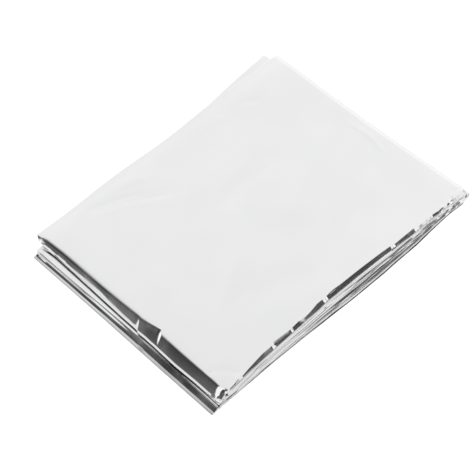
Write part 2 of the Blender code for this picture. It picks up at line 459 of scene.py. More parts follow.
    def heights(self, x: Array, y: Array) -> Array:
        """Work out the middle heights of all the places of the stack.

        Args:
            x: Places along the pack.
            y: Places across it.

        Returns:
            One row for each place, from the bottom.
        """
        tx = np.clip(x / HALF_LONG, -1.0, 1.0)
        ty = np.clip(y / HALF_SHORT, -1.0, 1.0)
        thinning = self.back_thinning * np.exp(
            -((np.maximum(self.back_rim - y, 0.0) / self.rim_width) ** 2)
        )
        heights = [np.full_like(x, TIGHT_HALF, dtype=float)]
        for row in self.pitches:
            thirds = [through_three(*row[start:start + 3], tx) for start in (0, 3, 6)]
            pitch = through_three(*thirds, ty) * (1 - thinning)
            heights.append(heights[-1] + np.maximum(pitch, self.smallest_pitch))
        phase_x, phase_y = self.wave_phases
        wave = np.sin(2 * math.pi * x / self.wave_length_x + phase_x)
        wave = wave * np.sin(2 * math.pi * y / self.wave_length_y + phase_y)
        for place in range(PASSES_IN_PACK):
            rise = self.wave_height * wave * place / (PASSES_IN_PACK - 1)
            heights[place] = heights[place] + rise
        return np.array(heights)

    def level(self, number: int, x: Array, y: Array) -> tuple[Array, Array]:
        """Work out the middle height and half the thickness of a pass.

        Args:
            number: Number of the pass.
            x: Places along the pack.
            y: Places across it.

        Returns:
            Heights and half thicknesses.
        """
        place = self.passes[number].place
        heights = self.heights(x, y)
        if place == 1:
            return heights[0], np.full_like(x, TIGHT_HALF)
        room = heights[place - 1] - heights[place - 2]
        if place < PASSES_IN_PACK:
            room = np.minimum(room, heights[place] - heights[place - 1])
        inner = smooth_step(*self.side_rim, np.abs(x))
        front = self.flat_fullness + (1 - self.flat_fullness) * smooth_step(*self.front_rim, y)
        half = TIGHT_HALF + np.maximum(room * self.fullness - TIGHT_HALF, 0.0) * inner * front
        middle = heights[place - 1]
        if number in (0, PASSES_IN_PACK - 1):
            pressed = half * self.end_pressing * smooth_step(*self.end_rim, x)
            half = half - pressed
            middle = middle + pressed * self.end_rise[0 if number == 0 else 1]
        return middle, half

    def roll_depth(self, place: int, x: Array) -> Array:
        """Work out how far a front roll goes along Y.

        Args:
            place: Place in the stack.
            x: Places along the pack.

        Returns:
            Depths.
        """
        ends = self.end_depth + (1 - self.end_depth) * smooth_step(*self.roll_rim, np.abs(x))
        if place == PASSES_IN_PACK:
            return np.interp(x, FRONT_AT, TOP_DEPTH) * ends
        roll = self.rolls[place - 1]
        share = smooth_step(*self.roll_change, x)
        depth = roll.left_depth + (roll.right_depth - roll.left_depth) * share
        return depth * (1 + self.depth_wander * Wander(self.depth_seed + place).at(x)) * ends

    def roll_outline(self, place: int, x: Array) -> Array:
        """Work out the outline of a front roll.

        Args:
            place: Place in the stack.
            x: Places along the pack.

        Returns:
            One outline for each place along the pack.
        """
        roll = self.rolls[place - 1]
        left, right = np.array(roll.left.value), np.array(roll.right.value)
        mixed = roll.mixing * Wander(self.outline_seed + place).at(x)
        share = smooth_step(*self.roll_change, x) + mixed
        if place == PASSES_IN_PACK:
            share = np.zeros_like(x)
            for at, width, strength in self.tucks:
                tucked = smooth_step(width + self.tuck_edge, width, np.abs(x - at))
                share = np.maximum(share, tucked * strength)
        share = np.clip(share, 0.0, 1.0)[:, None, None]
        corners = left * (1 - share) + right * share
        if place == PASSES_IN_PACK:
            fall = np.minimum(self.roll_depth(place, x) / self.full_facet, 1.0)[:, None]
            corners[:, 1:5, 1] = 1 - (1 - corners[:, 1:5, 1]) * fall
        return rounded(corners, np.full(corners.shape[-2], ROLL_SOFTNESS))

    def front_edge(self, place: int, x: Array) -> Array:
        """Work out how far a front roll reaches.

        Args:
            place: Place in the stack.
            x: Places along the pack.

        Returns:
            Y of its outermost line.
        """
        top = np.interp(x, FRONT_AT, TOP_START) - np.interp(x, FRONT_AT, TOP_DEPTH)
        bottom = np.interp(x, FRONT_AT, BOTTOM_REACH)
        if place == PASSES_IN_PACK:
            return top
        below = ((PASSES_IN_PACK - place) / (PASSES_IN_PACK - 1)) ** self.fan_power
        uneven = Wander(self.edge_seed + place, self.edge_waves).at(x)
        uneven = uneven * self.edge_wander * (self.lowest_wander if place == 1 else 1.0)
        upper = np.interp(x, *zip(*self.upper_line))
        return upper + (bottom - upper) * below + uneven

    def back_edge(self, number: int, x: Array) -> Array:
        """Work out where the back edge of a pass lies.

        Args:
            number: Number of the pass.
            x: Places along the pack.

        Returns:
            Y of the edge.
        """
        item = self.passes[number]
        t = (x + HALF_LONG) / PASS_LENGTH
        straight = item.back_left + (item.back_right - item.back_left) * t
        return straight + self.back_wander * np.sin(x / self.back_wave + self.back_shift * number)


@dataclass(frozen=True)
class Row:
    """One line along the whole sheet, at a fixed distance across it.

    The station goes from 0 where the front roll starts to 1 where the back one does, and the
    lift is the ply's place in the bundle, from -1 to 1. The bulge is how far the line lies out on
    a back roll. The roll is the line's share of a front roll, which starts at the row's lift.
    """

    across: float
    strip: int
    station: float
    lift: float
    detail: Detail
    bulge: float = 0.0
    roll: float = -1.0


@dataclass(frozen=True)
class Ridge:
    """A long soft ridge or trough that was pressed into the upper plies."""

    route: Pairs
    width: float
    height: float
    taper: float = 0.15

    def lift(self, x: Array, y: Array) -> Array:
        """Work out how far the ridge lifts the top.

        Args:
            x: Places along the pack.
            y: Places across it.

        Returns:
            Rises, in millimetres.
        """
        nearest = np.full_like(x, np.inf)
        along = np.zeros_like(x)
        total = len(self.route) - 1
        for index, (start, end) in enumerate(zip(self.route[:-1], self.route[1:])):
            way = np.array(end) - np.array(start)
            t = ((x - start[0]) * way[0] + (y - start[1]) * way[1]) / (way @ way)
            t = np.clip(t, 0.0, 1.0)
            away = np.hypot(x - start[0] - way[0] * t, y - start[1] - way[1] * t)
            along = np.where(away < nearest, (index + t) / total, along)
            nearest = np.minimum(nearest, away)
        taper = smooth_step(0.0, self.taper, along) * smooth_step(1.0, 1 - self.taper, along)
        return self.height * np.exp(-((nearest / self.width) ** 2)) * taper


@dataclass(frozen=True)
class Dent:
    """A push on the plies round one point of the pack, which leaves a dent or a pinch."""

    at: tuple[float, float, float]
    size: tuple[float, float, float]
    push: tuple[float, float, float]


@dataclass(frozen=True)
class Crumple:
    """A place where the film is crumpled: its middle, its size, and how strongly."""

    at: tuple[float, float, float]
    size: tuple[float, float, float]
    amount: float


class Wiring:
    """Adds nodes to a node tree and joins them."""

    def __init__(self, tree: bpy.types.NodeTree) -> None:
        """Take the tree that the nodes go into."""
        self.tree = tree

    def node(self, kind: str, **settings: object) -> bpy.types.Node:
        """Add one node and set its options.

        Args:
            kind: Blender's name of the node's type.
            settings: Options of the node, by name.

        Returns:
            The node.
        """
        node = self.tree.nodes.new(kind)
        for name, value in settings.items():
            setattr(node, name, value)
        return node

    def feed(self, socket: bpy.types.NodeSocket, value: object) -> None:
        """Join a socket to an input, or set the input's own value.

        Args:
            socket: The input.
            value: A socket, or a plain value.
        """
        if isinstance(value, bpy.types.NodeSocket):
            self.tree.links.new(value, socket)
        else:
            socket.default_value = value

    def maths(self, operation: str, *values: object) -> bpy.types.NodeSocket:
        """Add one math node.

        Args:
            operation: Name of the operation.
            values: Sockets or numbers.

        Returns:
            The result's socket.
        """
        node = self.node("ShaderNodeMath", operation=operation)
        for socket, value in zip(node.inputs, values):
            self.feed(socket, value)
        return node.outputs[0]

    def vector(self, operation: str, *values: object) -> bpy.types.NodeSocket:
        """Add one vector math node.

        Args:
            operation: Name of the operation.
            values: Sockets or vectors.

        Returns:
            The result's socket.
        """
        node = self.node("ShaderNodeVectorMath", operation=operation)
        for socket, value in zip(node.inputs, values):
            self.feed(socket, value)
        return node.outputs[0]

    def span(self, value: bpy.types.NodeSocket, *limits: object) -> bpy.types.NodeSocket:
        """Map a value smoothly from low and high to new low and new high.

        Args:
            value: The value's socket.
            limits: Low, high, new low and new high.

        Returns:
            The result's socket.
        """
        node = self.node("ShaderNodeMapRange", interpolation_type="SMOOTHSTEP")
        self.feed(node.inputs[0], value)
        for socket, limit in zip(node.inputs[1:5], limits):
            self.feed(socket, limit)
        return node.outputs[0]


@dataclass(frozen=True)
class Crinkle:
    """Geometry Nodes tree that crinkles the film where it is marked, and dresses it."""

    name: str = "film_crinkle"
    broad_size: float = 26.0
    broad_depth: float = 0.30
    crumple_size: float = 4.2
    crumple_depth: float = 6.5
    fine_size: float = 1.7
    fine_depth: float = 1.8
    seed: float = 3.7
    # The plies of the stack move together, so the broad noise changes slowly with height. The
    # film at the floor stays where it is, and the film above it is pushed less along the pack
    # than up
    stack_stretch: tuple[float, float, float] = (1.0, 1.0, 0.25)
    held_height: tuple[float, float] = (0.2, 3.0)
    sideways_share: float = 0.7

    def inputs(self) -> tuple[tuple[str, float], ...]:
        """List the tree's own inputs.

        Returns:
            Their names and values, with lengths in metres.
        """
        return (
            ("Broad Size", self.broad_size * MM), ("Broad Depth", self.broad_depth * MM),
            ("Crumple Size", self.crumple_size * MM), ("Crumple Depth", self.crumple_depth * MM),
            ("Fine Size", self.fine_size * MM), ("Fine Depth", self.fine_depth * MM),
            ("Seed", self.seed),
        )

    def push(self, wires: Wiring, place: bpy.types.NodeSocket, size: bpy.types.NodeSocket,
             depth: bpy.types.NodeSocket, seed: bpy.types.NodeSocket) -> bpy.types.NodeSocket:
        """Add the nodes of one noise that pushes points about.

        Args:
            wires: Wiring of the tree.
            place: Position of each point.
            size: Size of the noise's lumps.
            depth: Longest push.
            seed: Seed of the noise.

        Returns:
            Socket of the pushes.
        """
        noise = wires.node("ShaderNodeTexNoise", noise_dimensions="4D")
        wires.feed(noise.inputs["Vector"], place)
        wires.feed(noise.inputs["W"], seed)
        wires.feed(noise.inputs["Scale"], wires.maths("DIVIDE", 1.0, size))
        noise.inputs["Detail"].default_value = 1.0
        centred = wires.vector("SUBTRACT", noise.outputs["Color"], (0.5, 0.5, 0.5))
        scaled = wires.node("ShaderNodeVectorMath", operation="SCALE")
        wires.feed(scaled.inputs[0], centred)
        wires.feed(scaled.inputs["Scale"], depth)
        return scaled.outputs[0]

    def tree(self, material: bpy.types.Material) -> bpy.types.NodeTree:
        """Build the tree.

        Args:
            material: Material that the film gets.

        Returns:
            The node tree.
        """
        tree = bpy.data.node_groups.new(self.name, "GeometryNodeTree")
        tree.interface.new_socket("Geometry", in_out="INPUT", socket_type="NodeSocketGeometry")
        for name, value in self.inputs():
            socket = tree.interface.new_socket(name, in_out="INPUT", socket_type="NodeSocketFloat")
            socket.default_value = value
        tree.interface.new_socket("Geometry", in_out="OUTPUT", socket_type="NodeSocketGeometry")
        wires = Wiring(tree)
        sizes = wires.node("NodeGroupInput").outputs
        place = wires.node("GeometryNodeInputPosition").outputs[0]
        marked = wires.node("GeometryNodeInputNamedAttribute", data_type="FLOAT")
        marked.inputs["Name"].default_value = "crumple"
        amount = marked.outputs["Attribute"]
        together = wires.vector("MULTIPLY", place, self.stack_stretch)
        broad = self.push(wires, together, sizes["Broad Size"], sizes["Broad Depth"], sizes["Seed"])
        crumple = self.push(
            wires, place, sizes["Crumple Size"],
            wires.maths("MULTIPLY", sizes["Crumple Depth"], amount), sizes["Seed"],
        )
        fine = self.push(
            wires, place, sizes["Fine Size"],
            wires.maths("MULTIPLY", sizes["Fine Depth"], amount), sizes["Seed"],
        )
        moved = wires.vector("ADD", wires.vector("ADD", broad, crumple), fine)
        height = wires.node("ShaderNodeSeparateXYZ")
        wires.feed(height.inputs[0], place)
        held, loose = self.held_height
        free = wires.span(height.outputs["Z"], held * MM, loose * MM, 0.0, 1.0)
        sideways = wires.maths("MULTIPLY", free, self.sideways_share)
        mask = wires.node("ShaderNodeCombineXYZ")
        for axis, share in zip("XYZ", (sideways, sideways, free)):
            wires.feed(mask.inputs[axis], share)
        shaped = wires.node("GeometryNodeSetPosition")
        wires.feed(shaped.inputs["Geometry"], sizes["Geometry"])
        wires.feed(shaped.inputs["Offset"], wires.vector("MULTIPLY", moved, mask.outputs[0]))
        real = wires.node("GeometryNodeRealizeInstances")
        wires.feed(real.inputs[0], shaped.outputs[0])
        dressed = wires.node("GeometryNodeSetMaterial")
        wires.feed(dressed.inputs["Geometry"], real.outputs[0])
        dressed.inputs["Material"].default_value = material
        output = wires.node("NodeGroupOutput")
        wires.feed(output.inputs["Geometry"], dressed.outputs[0])
        return tree

    def apply(self, sheet: bpy.types.Object, material: bpy.types.Material) -> None:
        """Crinkle and dress the sheet, and leave it as a plain mesh.

        Args:
            sheet: The folded sheet.
            material: Material of the film.
        """
        modifier = sheet.modifiers.new(self.name, "NODES")
        modifier.node_group = self.tree(material)
        values = dict(self.inputs())
        for item in modifier.node_group.interface.items_tree:
            if item.in_out == "INPUT" and item.name in values:
                modifier[item.identifier] = values[item.name]
        bpy.context.view_layer.update()
        evaluated = sheet.evaluated_get(bpy.context.evaluated_depsgraph_get())
        mesh = bpy.data.meshes.new_from_object(evaluated)
        sheet.modifiers.remove(modifier)
        plain = sheet.data
        sheet.data = mesh
        bpy.data.meshes.remove(plain)
        sheet.data.name = sheet.name
        log.info("%s: crinkled, %d points", sheet.name, len(mesh.vertices))


@dataclass
class FoldedSheet:
    """The blanket: one sheet of film that goes through all its folds."""

    plan: FoldPlan = field(default_factory=FoldPlan)
    name: str = "blanket_film"
    plain_steps: int = 10
    fine_steps: int = 70
    top_steps: int = 96
    top_roll_steps: int = 150
    top_rows: int = 84
    end_crowding: float = 0.5
    turn_share: float = 0.03
    # Film that a strip leaves to the roll at each of its edges, the width of film on a roll, and
    # the steps of the seven rolls
    margin: float = 2.0
    roll_film: float = 3.0
    roll_steps: tuple[int, ...] = (15, 8, 3, 4, 4, 3, 6)
    # Order of the eight strips in a pass, and how far each lies from its edges
    ranks: tuple[int, ...] = (0, 7, 4, 3, 2, 5, 6, 1)
    back_offsets: tuple[float, ...] = (0.6, 0.0, 0.0, -1.1, -1.1, -1.9, -1.9, -0.7)
    back_roll_depth: float = 1.1
    back_full_radius: float = 3 / 7
    free_end_offsets: tuple[float, ...] = (0.4, 0.0, 1.1, 1.6, 0.9, 1.9, 0.7, 1.3)
    # Stations at the front of the top skin, on the skin below and on the plies between them, and
    # how far round the pinches the top skin has more
    front_stations: tuple[float, ...] = (0.0, 0.002, 0.006, 0.012, 0.020, 0.030)
    lower_stations: tuple[float, ...] = (
        0.0, 0.006, 0.018, 0.04, 0.08, 0.15, 0.27, 0.40, 0.55, 0.70, 0.84, 0.94, 1.0,
    )
    inner_stations: tuple[float, ...] = (0.0, 0.02, 0.07, 0.17, 0.32, 0.50, 0.68, 0.84, 0.95, 1.0)
    near_roll: float = 0.025
    pinches: tuple[float, ...] = (-28.4, -6.4)
    pinch_shifts: tuple[float, ...] = (-0.9, -0.4, 0.4, 0.9)
    # Unevenness of the plies' back edges, and how it shifts from pass to pass
    ply_seed: int = 80
    ply_waves: tuple[float, ...] = (190.0, 120.0)
    ply_weights: tuple[float, ...] = (0.24, 0.16)
    ply_shift: float = 40.0
    # How tight the plies lie at a blunt nose, from where to where on the fold, and how softly
    # they follow its corners
    nose_plies: float = 4.0
    nose_reach: tuple[float, float] = (0.35, 0.9)
    corner_blur: float = 0.3
    # Heights between which the ridges fade in, and the strongest crumpling
    ridge_rise: tuple[float, float] = (1.5, 17.0)
    most_crumpled: float = 1.2
    ridges: tuple[Ridge, ...] = (
        Ridge(((-128.0, -92.0), (-84.0, -49.0), (-42.0, -22.0), (0.0, 22.0)), 6.5, 0.75),
        Ridge(((120.0, -8.0), (63.0, -41.0), (-10.0, -76.0)), 8.5, -0.75),
        Ridge(((108.0, 24.0), (52.0, -4.0), (10.0, -24.0)), 10.0, 0.60),
        Ridge(((52.0, 30.0), (20.0, 27.0), (-22.0, 24.0)), 6.0, -0.42),
        Ridge(((-92.0, 90.0), (-62.0, 78.0), (-22.0, 54.0)), 3.2, -0.45),
        Ridge(((-58.0, 90.0), (-44.0, 88.0), (-34.0, 80.0)), 2.2, 0.35),
        Ridge(((70.0, 84.0), (77.0, 80.6), (84.0, 74.0)), 1.8, -0.42),
        Ridge(((40.0, 88.0), (46.0, 84.0), (55.0, 82.0)), 1.6, 0.36),
        Ridge(((-84.0, -40.0), (-30.0, -62.0), (14.0, -84.0)), 12.0, -0.55),
        Ridge(((96.0, -30.0), (60.0, -62.0), (34.0, -86.0)), 8.0, 0.50),
        Ridge(((-124.0, -72.0), (-112.0, -84.0), (-108.0, -92.0)), 2.0, -0.45),
        Ridge(((116.0, 14.0), (118.0, -10.0), (113.0, -32.0)), 2.0, 0.30),
    )
    dents: tuple[Dent, ...] = (
        Dent((-131.5, -6.4, 13.5), (1.6, 1.1, 2.0), (1.6, 0.3, 0.5)),
        Dent((-126.6, -28.4, 17.2), (1.6, 0.9, 1.6), (-0.4, 0.1, 0.12)),
        Dent((-136.0, -19.6, 2.4), (1.4, 1.2, 1.6), (1.0, 0.0, 0.8)),
        Dent((-134.6, 90.0, 7.0), (1.1, 3.2, 1.6), (0.3, 0.0, 0.9)),
        Dent((-127.0, -92.6, 13.5), (2.2, 2.0, 3.0), (1.2, 1.0, -1.4)),
        Dent((-129.5, -96.6, 8.5), (2.2, 2.0, 2.4), (1.2, 1.0, -1.2)),
        Dent((124.0, -95.6, 16.5), (3.0, 1.8, 4.0), (-0.6, 0.8, -1.8)),
        Dent((117.0, -98.0, 14.0), (2.4, 1.8, 2.6), (0.5, 1.4, -1.4)),
        Dent((131.0, -95.5, 14.5), (2.0, 3.0, 4.0), (1.0, -0.8, 0.5)),
    )
    crumples: tuple[Crumple, ...] = (
        Crumple((-128.0, -94.0, 10.0), (4.5, 4.0, 8.0), 1.0),
        Crumple((127.0, -98.0, 11.0), (8.5, 4.5, 8.0), 1.2),
        Crumple((108.0, -99.0, 11.0), (14.0, 2.6, 6.0), 0.6),
        Crumple((-131.0, 97.0, 14.0), (4.0, 5.0, 6.0), 0.35),
        Crumple((0.0, -99.0, 8.0), (400.0, 3.6, 30.0), 0.16),
    )

    def lift_of(self, strip: int) -> float:
        """Place of a strip in the bundle, from -1 at its right hand skin to 1 at its left."""
        return 2 * self.ranks[strip] / (STRIPS_IN_PASS - 1) - 1

    def stations(self, strip: int) -> list[float]:
        """Choose the stations of a strip between its two rolls.

        Args:
            strip: Number of the strip across the sheet.

        Returns:
            Stations from 0 at the front to 1 at the back.
        """
        if strip != 1:
            return list(self.inner_stations if strip else self.lower_stations)
        last = self.front_stations[-1]
        even = [last + (1 - last) * (step / self.top_rows) for step in range(1, self.top_rows + 1)]
        near_pinches = [
            (pinch - TOP_START[0] + shift) / (STRIP_WIDTH - 2 * self.margin)
            for pinch in self.pinches for shift in self.pinch_shifts
        ]
        return sorted([*self.front_stations, *even, *near_pinches])

    def roll_rows(self, strip: int, steps: int) -> list[Row]:
        """Make the lines on the roll from one strip to the next.

        Args:
            strip: The strip before the roll.
            steps: How many steps the roll is divided into.

        Returns:
            The lines between the two strips.
        """
        start, end = self.lift_of(strip), self.lift_of(strip + 1)
        centre, radius = (start + end) / 2, (start - end) / 2
        rows = []
        for step in range(1, steps):
            share = step / steps
            across = (strip + 1) * STRIP_WIDTH + (share - 0.5) * self.roll_film
            if strip % 2 == 0:
                detail = Detail.ROLL if strip == 0 else Detail.PLAIN
                rows.append(Row(across, strip, 0.0, start, detail, roll=share))
                continue
            bulge = math.sin(math.pi * share) * min(1.0, abs(radius) / self.back_full_radius)
            detail = Detail.TOP if strip == 1 else Detail.PLAIN
            lift = centre + radius * math.cos(math.pi * share)
            rows.append(Row(across, strip, 1.0, lift, detail, bulge))
        return rows

    def rows(self) -> list[Row]:
        """List all the lines of the sheet.

        Returns:
            The lines, from one long edge to the other.
        """
        rows = []
        for strip in range(STRIPS_IN_PASS):
            stations = self.stations(strip)
            if strip % 2 == 0:
                stations = stations[::-1]
            for station in stations:
                share = 1 - station if strip % 2 == 0 else station
                inside = self.margin + share * (STRIP_WIDTH - 2 * self.margin)
                detail = Detail.TOP if strip == 1 else Detail.PLAIN
                if strip < 2 and station < self.near_roll:
                    detail = Detail.ROLL
                across = strip * STRIP_WIDTH + inside
                rows.append(Row(across, strip, station, self.lift_of(strip), detail))
            if strip < STRIPS_IN_PASS - 1:
                rows += self.roll_rows(strip, self.roll_steps[strip])
        return rows

    def run_shares(self, number: int, detail: Detail) -> Array:
        """Choose the samples of a line on one pass.

        Args:
            number: Number of the pass.
            detail: How closely the line is divided.

        Returns:
            Shares of the way along the pass, from 0 to 1.
        """
        steps = self.plain_steps
        if detail is Detail.TOP and number == TOP_PASS:
            steps = self.top_steps
        if detail is Detail.ROLL:
            steps = self.top_roll_steps if number == TOP_PASS else self.fine_steps
        t = np.linspace(0.0, 1.0, steps + 1)
        shares = t - self.end_crowding * np.sin(2 * math.pi * t) / (2 * math.pi)
        if detail is Detail.ROLL and number == TOP_PASS:
            beside = self.plan.creases[TOP_PASS:TOP_PASS + 2]
            left, right = (crease.at(FOLD_PLACES[0]) for crease in beside)
            start, end = left.depth - left.reach, right.reach - right.depth
            edge = self.plan.tuck_edge
            extra = [
                (at + shift - start) / (end - start)
                for at, width, _ in self.plan.tucks
                for shift in (-width - edge, -width, width, width + edge)
            ]
            shares = np.unique(np.concatenate([shares, extra]))
        return shares

    def stop(self, row: Row, crease: int) -> tuple[float, float]:
        """Work out where a line's runs stop at a crease or a free end.

        Args:
            row: The line.
            crease: Number of the crease.

        Returns:
            X where they stop, and Y at the crease.
        """
        side = self.plan.side(crease)
        neighbour = min(crease, PASSES_IN_PACK - 1)
        y = float(self.spot(row, neighbour, np.full(1, side * HALF_LONG))[0][0])
        cut = self.plan.creases[crease].at(y)
        if self.plan.creases[crease].free:
            return side * (cut.reach - self.free_end_offsets[row.strip]), y
        return side * (cut.reach - cut.depth), y

    def spot(self, row: Row, number: int, x: Array) -> tuple[Array, Array]:
        """Work out where a line lies in the cross-section of a pass.

        Args:
            row: The line.
            number: Number of the pass.
            x: Places along the pack.

        Returns:
            Y, and the level in the bundle, from -1 at its bottom to 1 at its top.
        """
        plan = self.plan
        place = plan.passes[number].place
        depth = plan.roll_depth(place, x)
        start = plan.front_edge(place, x) + depth
        seed = self.ply_seed + self.ranks[row.strip] // 2
        uneven = Wander(seed, self.ply_waves, self.ply_weights).at(x + self.ply_shift * number)
        back = plan.back_edge(number, x) + self.back_offsets[row.strip]
        end = back + uneven - self.back_roll_depth
        level = np.full_like(x, plan.heading(number) * row.lift)
        if row.roll < 0:
            y = start + row.station * (end - start) + row.bulge * self.back_roll_depth
            return y, level
        down = row.roll if level[0] > 0 else 1 - row.roll
        outlines = plan.roll_outline(place, x)
        at = down * (outlines.shape[1] - 1)
        first = min(int(at), outlines.shape[1] - 2)
        point = outlines[:, first] + (outlines[:, first + 1] - outlines[:, first]) * (at - first)
        size = abs(row.lift)
        return start - point[:, 0] * depth * size, point[:, 1] * size

    def run(self, row: Row, number: int) -> Array:
        """Work out a line's points on one pass.

        Args:
            row: The line.
            number: Number of the pass.

        Returns:
            Points in the folding frame.
        """
        start, end = self.stop(row, number)[0], self.stop(row, number + 1)[0]
        x = start + (end - start) * self.run_shares(number, row.detail)
        y, level = self.spot(row, number, x)
        middle, half = self.plan.level(number, x, y)
        return np.stack([x, y, middle + level * half], axis=1)

    def turn(self, row: Row, number: int) -> Array:
        """Work out a line's points on one crease.

        Args:
            row: The line.
            number: Number of the crease, which joins this pass to the one before.

        Returns:
            Points in the folding frame, without those that the runs end at.
        """
        plan = self.plan
        falls = plan.passes[number - 1].place > plan.passes[number].place
        upper, lower = (number - 1, number) if falls else (number, number - 1)
        start, y = self.stop(row, number)
        x = np.full(1, start)
        y_up, level_up = self.spot(row, upper, x)
        y_low, level_low = self.spot(row, lower, x)
        z_up, half_up = plan.level(upper, x, y_up)
        z_low, half_low = plan.level(lower, x, y_low)
        bottom = z_low - half_low
        height = float(z_up[0] + half_up[0] - bottom[0])
        cut = plan.creases[number].at(y)
        skin = cut.skin(height)
        share = skin[:, 1] / height
        half = half_low + (half_up - half_low) * share
        if cut.nose:
            tight = np.minimum(half, cut.nose / self.nose_plies)
            half = half + (tight - half) * smooth_step(*self.nose_reach, skin[:, 0] / cut.depth)
        outward = level_up * share - level_low * (1 - share)
        inward = (1 - outward) * half
        if number == TOP_PASS and row.strip != 1:
            place, reach, slack = plan.slack
            inward = inward + slack * smooth_step(reach, reach / 2, abs(y - place))
        normal = facing(skin, self.corner_blur * (1 + float(inward.mean())))
        points = np.stack([
            start + plan.side(number) * (skin[:, 0] - inward * normal[:, 0]),
            y_up * share + y_low * (1 - share),
            bottom + skin[:, 1] - inward * normal[:, 1],
        ], axis=1)
        points = points if falls else points[::-1]
        return points[1:-1] if row.detail is not Detail.PLAIN else points[2:-1:2]

    def line(self, row: Row) -> tuple[Array, Array]:
        """Work out one line of the folded sheet.

        Args:
            row: The line.

        Returns:
            Its points in the folding frame, and their places along the flat sheet, in passes.
        """
        points, flat = [], []
        for number in range(PASSES_IN_PACK):
            if number:
                count = self.plan.creases[number].sample_count()
                steps = np.arange(1, count - 1) if row.detail is not Detail.PLAIN else (
                    np.arange(2, count - 1, 2)
                )
                points.append(self.turn(row, number))
                flat.append(number + self.turn_share * (2 * steps / (count - 1) - 1))
            start = number + (self.turn_share if number else 0.0)
            end = number + 1 - (self.turn_share if number < PASSES_IN_PACK - 1 else 0.0)
            points.append(self.run(row, number))
            flat.append(start + (end - start) * self.run_shares(number, row.detail))
        return np.concatenate(points), np.concatenate(flat)

    def stitch(self, first: Array, second: Array, at: int, after: int) -> list[tuple[int, ...]]:
        """Join two neighbouring lines with faces.

        Args:
            first: Places of the first line's samples along the flat sheet.
            second: Places of the second line's samples.
            at: Number of the first line's first vertex.
            after: Number of the second line's first vertex.

        Returns:
            The faces, as vertex numbers.
        """
        faces = []
        i = j = 0
        while i < len(first) - 1 or j < len(second) - 1:
            more_first = i < len(first) - 1
            more_second = j < len(second) - 1
            if more_first and more_second and abs(first[i + 1] - second[j + 1]) < 1e-9:
                faces.append((at + i, at + i + 1, after + j + 1, after + j))
                i += 1
                j += 1
            elif more_first and (not more_second or first[i + 1] < second[j + 1]):
                faces.append((at + i, at + i + 1, after + j))
                i += 1
            else:
                faces.append((at + i, after + j + 1, after + j))
                j += 1
        return faces

    def press(self, points: Array) -> Array:
        """Press the ridges and the dents into the points.

        Args:
            points: Points in the folding frame.

        Returns:
            The moved points.
        """
        moved = points.copy()
        height = smooth_step(*self.ridge_rise, points[:, 2])
        for ridge in self.ridges:
            moved[:, 2] += ridge.lift(points[:, 0], points[:, 1]) * height
        for dent in self.dents:
            away = (points - np.array(dent.at)) / np.array(dent.size)
            weight = np.exp(-(away ** 2).sum(axis=1))
            moved += weight[:, None] * np.array(dent.push)
        return moved

    def crumpled(self, points: Array) -> Array:
        """Mark how strongly the film is crumpled.

        Args:
            points: Points in the folding frame.

        Returns:
            One mark for each point.
        """
        total = np.zeros(len(points))
        for crumple in self.crumples:
            away = (points - np.array(crumple.at)) / np.array(crumple.size)
            total += crumple.amount * np.exp(-(away ** 2).sum(axis=1))
        return np.minimum(total, self.most_crumpled)

    def build(self) -> bpy.types.Object:
        """Build the sheet's mesh.

        Returns:
            The folded sheet, without its crinkles.
        """
        points, texture, faces = [], [], []
        total = 0
        previous = None
        for row in self.rows():
            position, flat = self.line(row)
            points.append(position)
            across = np.full(len(flat), row.across)
            texture.append(np.stack([across, flat * PASS_LENGTH], axis=1))
            if previous is not None:
                faces += self.stitch(previous[1], flat, previous[0], total)
            previous = (total, flat)
            total += len(flat)
        shape = np.concatenate(points)
        marks = self.crumpled(shape)
        vertices = self.press(shape)
        vertices[:, 0] -= PACK_CENTRE[0]
        vertices[:, 1] -= PACK_CENTRE[1]
        mesh = bpy.data.meshes.new(self.name)
        mesh.from_pydata((vertices * MM).tolist(), [], faces)
        mesh.update()
        flat_sheet = np.concatenate(texture) * MM
        loops = np.zeros(len(mesh.loops), dtype=np.int32)
        mesh.loops.foreach_get("vertex_index", loops)
        layer = mesh.uv_layers.new(name="flat_sheet")
        layer.data.foreach_set("uv", flat_sheet[loops].astype(np.float32).ravel())
        attribute = mesh.attributes.new("crumple", "FLOAT", "POINT")
        attribute.data.foreach_set("value", marks.astype(np.float32))
        mesh.shade_smooth()
        sheet = bpy.data.objects.new(self.name, mesh)
        bpy.context.scene.collection.objects.link(sheet)
        plies = PASSES_IN_PACK * STRIPS_IN_PASS
        log.info("%s: %d plies, %d faces", self.name, plies, len(faces))
        return sheet


